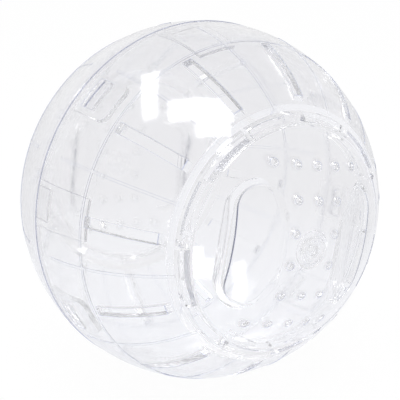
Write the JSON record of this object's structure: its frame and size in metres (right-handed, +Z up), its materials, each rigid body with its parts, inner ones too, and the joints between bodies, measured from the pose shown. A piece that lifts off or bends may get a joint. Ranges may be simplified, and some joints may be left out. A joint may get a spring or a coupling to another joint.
{
  "type": "hamster exercise ball",
  "caption": "Clear hollow ball in two half shells that clip together at a seam, with air slots and a domed twist-off door in each half.",
  "frame": {"origin": "the ball's centre, in the plane of the seam between the two halves", "axes": "-Y out through the middle of the front door, +Y out through the rear door, +Z up, +X to the right seen from the front"},
  "size_m": [0.1404, 0.1396, 0.1404],
  "materials": {
    "shell": "clear and polished",
    "door": "clear and polished",
    "hub": "clear and polished"
  },
  "bodies": {
    "front_half": {"front_shell": "shell"},
    "rear_half": {"rear_shell": "shell"},
    "front_bush": {"front_hub": "hub"},
    "front_lid": {"front_door": "door"},
    "rear_bush": {"rear_hub": "hub"},
    "rear_lid": {"rear_door": "door"}
  },
  "joints": [
    {"name": "halves_pull_apart", "type": "slide", "parent": "front_half", "child": "rear_half", "axis": [0, 1, 0], "range_m": [0, 0.05]},
    {"name": "front_door_lift", "type": "slide", "parent": "front_half", "child": "front_bush", "axis": [0, -1, 0], "range_m": [0, 0.04]},
    {"name": "front_door_turn", "type": "hinge", "parent": "front_bush", "child": "front_lid", "pos_m": [0, -0.0678, 0], "axis": [0, 1, 0], "range_deg": [0, 28]},
    {"name": "rear_door_lift", "type": "slide", "parent": "rear_half", "child": "rear_bush", "axis": [0, 1, 0], "range_m": [0, 0.04]},
    {"name": "rear_door_turn", "type": "hinge", "parent": "rear_bush", "child": "rear_lid", "pos_m": [0, 0.0678, 0], "axis": [0, -1, 0], "range_deg": [0, 28]}
  ]
}
